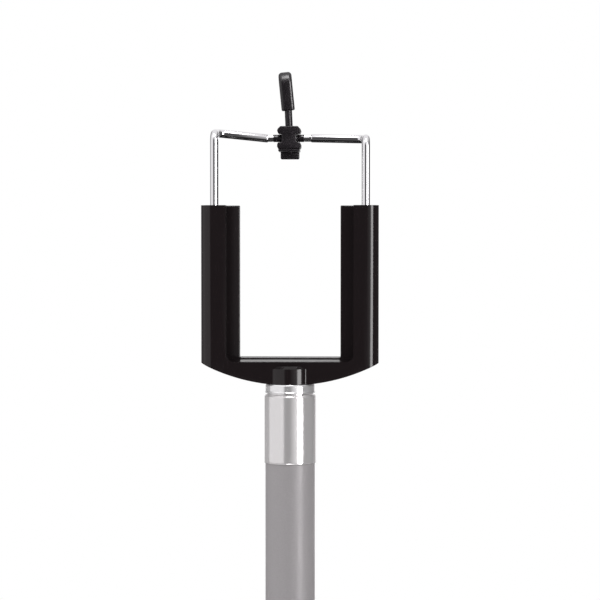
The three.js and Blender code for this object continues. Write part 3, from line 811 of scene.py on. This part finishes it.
def boss_flare():
    """The boss with a fillet where it meets the cover's back, and a sloped top."""
    radius = BOSS["radius"]
    flare = BOSS["flare"]
    back = FORK["back"]
    centre_y = back - flare
    centre_x = math.sqrt((radius + flare) ** 2 - centre_y**2)
    meet = math.degrees(math.atan2(centre_y, centre_x))
    right = arc(0, 0, radius, -90, meet, 24)
    right += arc(centre_x, centre_y, flare, meet + 180, 90, 10)[1:]
    right.append((centre_x + 0.02, back + 0.3))
    left = [(-x, y) for x, y in reversed(right)][:-1]
    seat = FORK["seat"]
    body = prism(left + right, seat, BOSS["top"], "Z")
    crown = radius + flare + 2
    top, slope = BOSS["top"], BOSS["slope"]
    corners = [
        (0, seat - 1),
        (crown, seat - 1),
        (crown, top - slope - 1),
        (radius + 0.05, top - slope, 0.8),
        (radius - slope, top, 0.5),
        (0, top),
    ]
    return combined(body, ("INTERSECT", lathe(rounded(corners, closed=False))))


def opening_floor():
    """The floor of the opening, which rises from the cover's back towards the parting plane."""
    start = FORK["back"] + 0.4
    low = FORK["inner_bottom"]
    outline = [
        (start, low - 0.6),
        (FORK["parting"], low - 0.6),
        (FORK["parting"], FORK["slope_top"], 0.15),
        (start, low + 0.02),
    ]
    reach = FORK["inner_half"] - 0.1
    return prism(rounded(outline), -reach, reach, "X")


def hollows():
    """What is hollow in both halves, for the threaded insert, the stud, the rods and springs."""
    room = INSERT_ROOM
    tools = [
        cylinder(room["radius"], room["bottom"], room["top"]),
        cylinder(room["hole"], FORK["seat"] - 2, room["top"] + 0.15),
    ]
    for side in SIDES:
        x = side * ROD["x"]
        y = ROD["y"]
        tools.append(cylinder(CHANNEL["radius"], CHANNEL["bottom"], CHANNEL["top"] + 0.1, x, y))
        tools.append(cylinder(CHANNEL["seat_radius"], CHANNEL["top"], CHANNEL["seat_top"], x, y))
        tools.append(cylinder(MOUTH, CHANNEL["seat_top"] - 0.1, 280, x, y))
    return [("DIFFERENCE", tool) for tool in tools]


def rear_cover():
    low, back, front = FORK["seat"] - 3, FORK["back"] - 1, FORK["parting"] + 1
    outline = fork_outline(FORK["inner_half"], FORK["inner_bottom"], FORK["inner_corner"])
    arms = prism(arm_section(), low, FORK["arm_top"] + 2, "Z")
    shell = combined(arms, ("INTERSECT", prism(outline, back, front)))
    soften(shell, EDGE, 4, 45, keep=lambda e: all(v.co.y < -0.2 for v in e.verts))
    steps = [("UNION", opening_floor()), ("UNION", boss_flare()), *hollows()]
    for x, z in SCREW_PLACES:
        hole = cylinder_along_y(SCREW["shaft"] + 0.1, SCREW["tip"] - 0.2, 1, x, z)
        steps.append(("DIFFERENCE", hole))
    made = combined(shell, *steps)
    return finished("rear_cover_moulded", made, LOOK["gloss_black"], "fork", "rear_cover")


def gusset(x):
    """A web under the ledge."""
    half = GUSSET["thickness"] / 2
    front = FORK["front"]
    outline = [
        (front - 0.5, GUSSET["bottom"]),
        (front + 0.5, GUSSET["bottom"]),
        (GUSSET["reach"], LEDGE["bottom"]),
        (GUSSET["reach"], LEDGE["bottom"] + 0.5),
        (front - 0.5, LEDGE["bottom"] + 0.5),
    ]
    return soften(prism(outline, x - half, x + half, "X"), 0.3, 2)


def hook(side):
    """The upstand at one end of the ledge that keeps the phone on it."""
    inner, outer = side * HOOK["inner"], side * HOOK["outer"]
    low = LEDGE["top"] - 1.5
    corners = [
        (inner, low),
        (outer, low),
        (outer, HOOK["top"], HOOK["corner"]),
        (inner, HOOK["top"], HOOK["corner"]),
    ]
    made = prism(rounded(corners, steps=8), HOOK["back"], LEDGE["front"])
    return soften(made, 0.5, 4)


def front_frame():
    outline = fork_outline(FORK["window_half"], FORK["window_bottom"], 0.6)
    plate = soften(prism(outline, 0, FORK["front"]), EDGE, 3, 45)
    half = LEDGE["half_width"]
    ledge = box(-half, half, FORK["front"] - 0.6, LEDGE["front"], LEDGE["bottom"], LEDGE["top"])
    soften(ledge, 0.5, 3)
    top = LEDGE["bottom"] + 0.5
    boss = cylinder(BOSS["radius"], FORK["seat"], top)
    half_boss = combined(boss, ("INTERSECT", box(-20, 20, 0, 20, 200, 230)))
    steps = [("UNION", ledge), ("UNION", half_boss)]
    steps += [("UNION", hook(side)) for side in SIDES]
    steps += [("UNION", gusset(side * GUSSET["x"])) for side in SIDES]
    for x, z in SCREW_PLACES:
        steps.append(("DIFFERENCE", cylinder_along_y(SCREW["shaft"] + 0.2, -1, 5, x, z)))
        steps.append(("DIFFERENCE", cylinder_along_y(SCREW["head"] + 0.15, 1.8, 5, x, z)))
    made = combined(plate, *steps, *hollows())
    return finished("front_frame_moulded", made, LOOK["gloss_black"], "fork", "front_frame")


def shell_screw(index, x, z):
    node = f"shell_screw_{index + 1}"
    top = FORK["front"] - 0.05
    head_low = top - SCREW["height"]
    corners = [
        (0, SCREW["tip"]),
        (SCREW["shaft"] * 0.5, SCREW["tip"]),
        (SCREW["shaft"], SCREW["tip"] + 0.8),
        (SCREW["shaft"], head_low),
        (SCREW["head"], head_low, 0.1),
        (SCREW["head"], top - 0.25, 0.2),
        (SCREW["head"] * 0.6, top, 0.3),
        (0, top),
    ]
    made = lathe(rounded(corners, closed=False), segments=SMALL_ROUND)
    moved(turned_to(made, "Y"), x, 0, z)
    cross = [
        ("DIFFERENCE", box(x - 1.1, x + 1.1, top - 0.6, 9, z - 0.2, z + 0.2)),
        ("DIFFERENCE", box(x - 0.2, x + 0.2, top - 0.6, 9, z - 1.1, z + 1.1)),
    ]
    made = combined(made, *cross)
    return finished(f"{node}_fine", made, LOOK["zinc_steel"], "fork", node)


def spaced(start, end, count):
    """The middles of equal steps between two places."""
    pitch = (end - start) / count
    return [start + pitch * (i + 0.5) for i in range(count)]


def ledge_pad():
    """A thin rubber strip with ribs along it."""
    low, high = in_mm("ledge_pad")
    top = high.z - 0.22
    pad = soften(box(low.x, high.x, low.y, high.y, low.z, top - 0.15), 0.2, 2)
    ribs = []
    for y in spaced(low.y, high.y, 5):
        rib = box(low.x + 0.8, high.x - 0.8, y - 0.5, y + 0.5, top - 0.4, top)
        ribs.append(("UNION", soften(rib, 0.12, 2)))
    made = combined(pad, *ribs)
    return finished("ledge_pad_ribbed", made, LOOK["rubber_black"], "fork", "ledge_pad")


def arm_pad(name):
    """A rubber pad with ribs across it, against the phone's back."""
    node = f"arm_pad_{name}"
    low, high = in_mm(node)
    corners = [(low.x, low.z), (high.x, low.z), (high.x, high.z), (low.x, high.z)]
    pad = prism(rounded([(*c, 1.5) for c in corners]), low.y, high.y - 0.15)
    soften(pad, 0.2, 2, 50)
    margin = 1.5
    ribs = []
    for z in spaced(low.z + margin, high.z - margin, 14):
        rib = box(low.x + 0.9, high.x - 0.9, high.y - 0.4, high.y, z - 0.6, z + 0.6)
        ribs.append(("UNION", soften(rib, 0.15, 2)))
    made = combined(pad, *ribs)
    return finished(f"{node}_ribbed", made, LOOK["rubber_black"], "fork", node)


# ---------------------------------------------------------------- wire frame


def half_wire(side):
    """Points and radii from a rod's foot to the middle of the crossbar, with its steps down."""
    x = side * ROD["x"]
    full = ROD["radius"]
    foot = Vector((x, ROD["y"], ROD["bottom"]))
    shoulder = Vector((side * SHOULDER[side], CROSSBAR_Y, MIDDLE_Z))
    corners = [
        foot + Vector((0, 0, 0.3)),
        Vector((x, ROD["y"], CORNER_Z[side])),
        Vector((x, CROSSBAR_Y, BAR_Z[side])),
        shoulder,
    ]
    run = [(foot, full - 0.3)] + [(point, full) for point in bent_route(corners, BEND, 14)]
    neck = BAR_NECK["radius"]
    start = SHOULDER[side]
    stop = BAR_NECK[side]
    steps = ((start - 0.25, full - 0.08), (start - 0.4, neck), (stop, neck))
    ends = ((stop - 0.05, JOURNAL_RADIUS), (stop - 1.2, JOURNAL_RADIUS))
    for place, radius in steps + ends:
        run.append((Vector((side * place, CROSSBAR_Y, MIDDLE_Z)), radius))
    return run


def wire_frame():
    """One wire up the left rod, across the top and down the right rod, thinner in the middle."""
    whole = half_wire(-1) + half_wire(1)[::-1]
    made = sweep([point for point, radius in whole], [radius for point, radius in whole], 64)
    return finished("wire_frame_chromed", made, LOOK["chrome_wire"], "wire", "wire_frame")


def along_crossbar(outline, closed):
    """A turned piece on the crossbar's axis. Its outline's heights are along X."""
    made = lathe(outline, closed=closed, segments=SMALL_ROUND)
    return moved(turned_to(made, "X"), 0, CROSSBAR_Y, MIDDLE_Z)


def wire_sleeve(name):
    node = f"wire_sleeve_{name}"
    low, high = in_mm(node)
    bore = JOURNAL_RADIUS + 0.05
    corners = [
        (bore, low.x),
        (SLEEVE_RADIUS, low.x, 0.15),
        (SLEEVE_RADIUS, high.x, 0.15),
        (bore, high.x),
    ]
    made = along_crossbar(rounded(corners), True)
    return finished(f"{node}_fine", made, LOOK["rubber_black"], "wire", node)


# ---------------------------------------------------------------- jaw


def jaw_outline():
    """The block's face: wide top and bottom, notched in the middle where the wire runs."""
    half, waist = JAW["half"], JAW["waist"]
    top, bottom = JAW["top"], JAW["bottom"]
    upper, lower = JAW["upper_bottom"], JAW["lower_top"]
    right = [
        (half - 1.1, top, 0.5),
        (half - 0.2, top - 0.9, 0.3),
        (half, top - 1.5, 0.3),
        (half - 0.3, upper, 0.35),
        (waist, upper, 0.75),
        (waist, lower, 0.75),
        (half - 0.3, lower, 0.3),
        (half, lower - 0.7, 0.3),
        (half, bottom + 0.7, 0.3),
        (half - 0.4, bottom, 0.3),
    ]
    left = [(-x, z, r) for x, z, r in reversed(right)]
    return rounded(right + left, steps=4)


def leaning(made, angle, x, z):
    """Leans a bmesh to -X about the point (x, z)."""
    turn = Matrix.Rotation(math.radians(-angle), 3, "Y")
    bmesh.ops.rotate(made, verts=made.verts, cent=(0, 0, z), matrix=turn)
    return moved(made, x)


def stem(radius, low, high):
    """The leaning pin on top of the jaw that carries the tab."""
    outline = [(0, low), (radius, low), (radius, high - 0.3), (radius - 0.3, high), (0, high)]
    made = moved(lathe(outline, segments=SMALL_ROUND), 0, CROSSBAR_Y)
    return leaning(made, STEM["lean"], STEM["offset"], JAW["top"])


def jaw_block():
    body = soften(prism(jaw_outline(), JAW["back"], JAW["front"]), EDGE, 3, 50)
    half = JAW_LIP["half"]
    toe_top = JAW["lower_top"] - 0.3
    toe = box(-half, half, JAW["front"] - 0.6, JAW_LIP["front"], JAW["bottom"] + 0.1, toe_top)
    lip = box(-half, half, JAW_LIP["back"], JAW_LIP["front"], JAW_LIP["bottom"], 291.6)
    bore = along_crossbar([(0, -9), (0.95, -9), (0.95, 9), (0, 9)], False)
    steps = [
        ("UNION", soften(toe, 0.35, 3)),
        ("UNION", soften(lip, 0.5, 3)),
        ("UNION", stem(STEM["radius"], JAW["top"] - 1, STEM["top"])),
        ("DIFFERENCE", bore),
    ]
    made = moved(combined(body, *steps), JAW["x"])
    return finished("jaw_block_moulded", made, LOOK["matt_black"], "jaw", "jaw_block")


def tab_sections():
    """Sections of the tab from its foot up the straight part and round the curl to its tip."""
    width, thickness = TAB["width"] / 2, TAB["thickness"] / 2
    radius = TAB_CURL["radius"]
    top = TAB["straight_top"]
    tip = TAB_CURL["tip"]
    arc_length = radius * math.radians(TAB_CURL["angle"])
    length = top - TAB["bottom"] + arc_length
    stops = [0, 0.08, 0.25, 0.5] + [top - TAB["bottom"] - 1 + i for i in (-4, -2, 0, 1)]
    stops += [length - arc_length * (1 - i / 14) for i in range(1, 10)]
    stops += [length - tip * math.cos(math.radians(a)) for a in range(0, 90, 9)] + [length - 0.01]
    sections = []
    for along in sorted(set(stops)):
        turn = max(0, along - (top - TAB["bottom"])) / radius
        height = min(along, top - TAB["bottom"]) + TAB["bottom"]
        y = CROSSBAR_Y + radius * (1 - math.cos(turn))
        z = height + radius * math.sin(turn)
        from_end = max(0, 1 - (length - along) / tip)
        from_foot = max(0, 1 - along / 0.5)
        shrink = 1 - math.sqrt(max(0, 1 - from_end**2))
        foot = 0.35 * (1 - math.sqrt(1 - from_foot**2))
        half_width = width - 1.5 * shrink - foot
        half_thick = thickness * (1 - shrink) - foot + 0.05 * shrink
        corner = min(TAB["corner"], 0.95 * half_thick)
        outline = rounded_box(half_width, half_thick, corner, steps=6)
        cosine, sine = math.cos(turn), math.sin(turn)
        sections.append([(x, y + v * cosine, z - v * sine) for x, v in outline])
    return sections


def tab_sleeve():
    """A soft sleeve on the stem, straight and then curled forwards, with rounded edges."""
    made = leaning(loft(tab_sections()), TAB_CURL["lean"], TAB_CURL["offset"], TAB["bottom"])
    pocket = stem(STEM["radius"] + 0.05, JAW["top"], STEM["top"] + 0.1)
    made = moved(combined(made, ("DIFFERENCE", pocket)), JAW["x"])
    return finished("tab_sleeve_soft", made, LOOK["rubber_black"], "jaw", "tab_sleeve")


def jaw_pad():
    low, high = in_mm("jaw_pad")
    made = soften(box(low.x, high.x, low.y, high.y, low.z, high.z + 0.09), 0.2, 3)
    return finished("jaw_pad_fine", made, LOOK["rubber_black"], "jaw", "jaw_pad")


# ---------------------------------------------------------------- studio


def camera():
    lens = bpy.data.cameras.new("camera")
    lens.lens = VIEW["lens"]
    lens.sensor_width = 36
    lens.clip_start = 0.01
    lens.clip_end = 20
    eye = bpy.data.objects.new("camera", lens)
    bpy.context.scene.collection.objects.link(eye)
    azimuth = math.radians(VIEW["azimuth"])
    target = Vector(VIEW["target"]) * MM
    back = Vector((math.sin(azimuth), -math.cos(azimuth), 0)) * VIEW["distance"] * MM
    eye.location = target + back
    eye.location.z = VIEW["eye"] * MM
    eye.rotation_euler = (target - eye.location).to_track_quat("-Z", "Y").to_euler()
    bpy.context.scene.camera = eye


def window(sky, bearing, height, rise, fall, height_rise, height_fall, gain):
    """A soft-edged patch of light between two bearings and two heights."""
    edges = [(bearing, rise), (bearing, fall[::-1])]
    edges += [(height, height_rise), (height, height_fall[::-1])]
    light = gain
    for value, (start, end) in edges:
        step = sky.ramp(value, math.radians(start), math.radians(end), smooth=True)
        light = sky.math("MULTIPLY", step, light)
    return light


def painted(sky, base, patches):
    """A background of one brightness with patches of light on it."""
    direction = sky.add("ShaderNodeTexCoord").outputs["Generated"]
    way = sky.add("ShaderNodeSeparateXYZ", Vector=direction)
    ahead = sky.math("MULTIPLY", way.outputs["Y"], -1.0)
    bearing = sky.math("ARCTAN2", way.outputs["X"], ahead)
    height = sky.math("ARCSINE", way.outputs["Z"])
    total = base
    for patch in patches.values():
        total = sky.math("ADD", window(sky, bearing, height, *patch), total)
    shader = sky.add("ShaderNodeBackground", Strength=total)
    shader.inputs["Color"].default_value = (1, 0.99, 0.995, 1)
    return shader.outputs["Background"]


def world():
    """White behind the object, a soft tent that lights it, and lamps that its gloss reflects."""
    room = bpy.data.worlds.new("room")
    bpy.context.scene.world = room
    room.use_nodes = True
    room.node_tree.nodes.clear()
    sky = Graph(room.node_tree)
    path = sky.add("ShaderNodeLightPath")
    seen = sky.add("ShaderNodeBackground")
    seen.inputs["Color"].default_value = (1, 1, 1, 1)
    tent = painted(sky, TENT_LIGHT, TENT)
    lamps = painted(sky, ROOM_LIGHT, ROOM)
    lit = sky.mix(path.outputs["Is Glossy Ray"], tent, lamps)
    both = sky.mix(path.outputs["Is Camera Ray"], lit, seen.outputs["Background"])
    sky.add("ShaderNodeOutputWorld", Surface=both)


def floor():
    """A pale floor that fades into the white background, and is dim in reflections near by."""
    look = Look("floor", (0.82, 0.82, 0.82), 0.6)
    place = look.add("ShaderNodeSeparateXYZ", Vector=look.place())
    flat = look.add("ShaderNodeCombineXYZ", X=place.outputs["X"], Y=place.outputs["Y"])
    length = look.add("ShaderNodeVectorMath")
    length.operation = "LENGTH"
    look.feed(length.inputs[0], flat.outputs["Vector"])
    distance = length.outputs["Value"]
    fade = look.ramp(distance, *FLOOR["fade"])
    path = look.add("ShaderNodeLightPath")
    pale = look.shader.outputs["BSDF"]
    reflected = look.ramp(distance, *FLOOR["reflected"])
    dim = look.add("ShaderNodeEmission", Strength=reflected).outputs["Emission"]
    glow = look.add("ShaderNodeEmission", Strength=1.0).outputs["Emission"]
    faded = look.math("MULTIPLY", fade, path.outputs["Is Camera Ray"])
    seen = look.mix(path.outputs["Is Glossy Ray"], look.mix(faded, pale, glow), dim)
    look.feed(look.tree.nodes["Material Output"].inputs["Surface"], seen)
    made = bmesh.new()
    bmesh.ops.create_circle(made, cap_ends=True, segments=ROUND, radius=FLOOR["radius"])
    mesh = bpy.data.meshes.new("floor")
    made.to_mesh(mesh)
    made.free()
    mesh.materials.append(look.material)
    ground = bpy.data.objects.new("floor", mesh)
    ground.location.z = -FLOOR["drop"]
    bpy.context.scene.collection.objects.link(ground)


def studio():
    camera()
    world()
    floor()
    view = bpy.context.scene.view_settings
    view.view_transform = "Standard"
    view.look = "None"


# ---------------------------------------------------------------- assembly


def build():
    dress_carried_nodes()
    end_cap()
    grip_foam()
    grip_ring()
    outer_tube()
    top_collar()
    for number in (2, 3, 4, 5, 6):
        section_tube(number)
    head_neck()
    rear_cover()
    front_frame()
    for index, (x, z) in enumerate(SCREW_PLACES):
        shell_screw(index, x, z)
    ledge_pad()
    for name in SIDES.values():
        arm_pad(name)
        wire_sleeve(name)
    wire_frame()
    jaw_block()
    tab_sleeve()
    jaw_pad()


studio()
build()
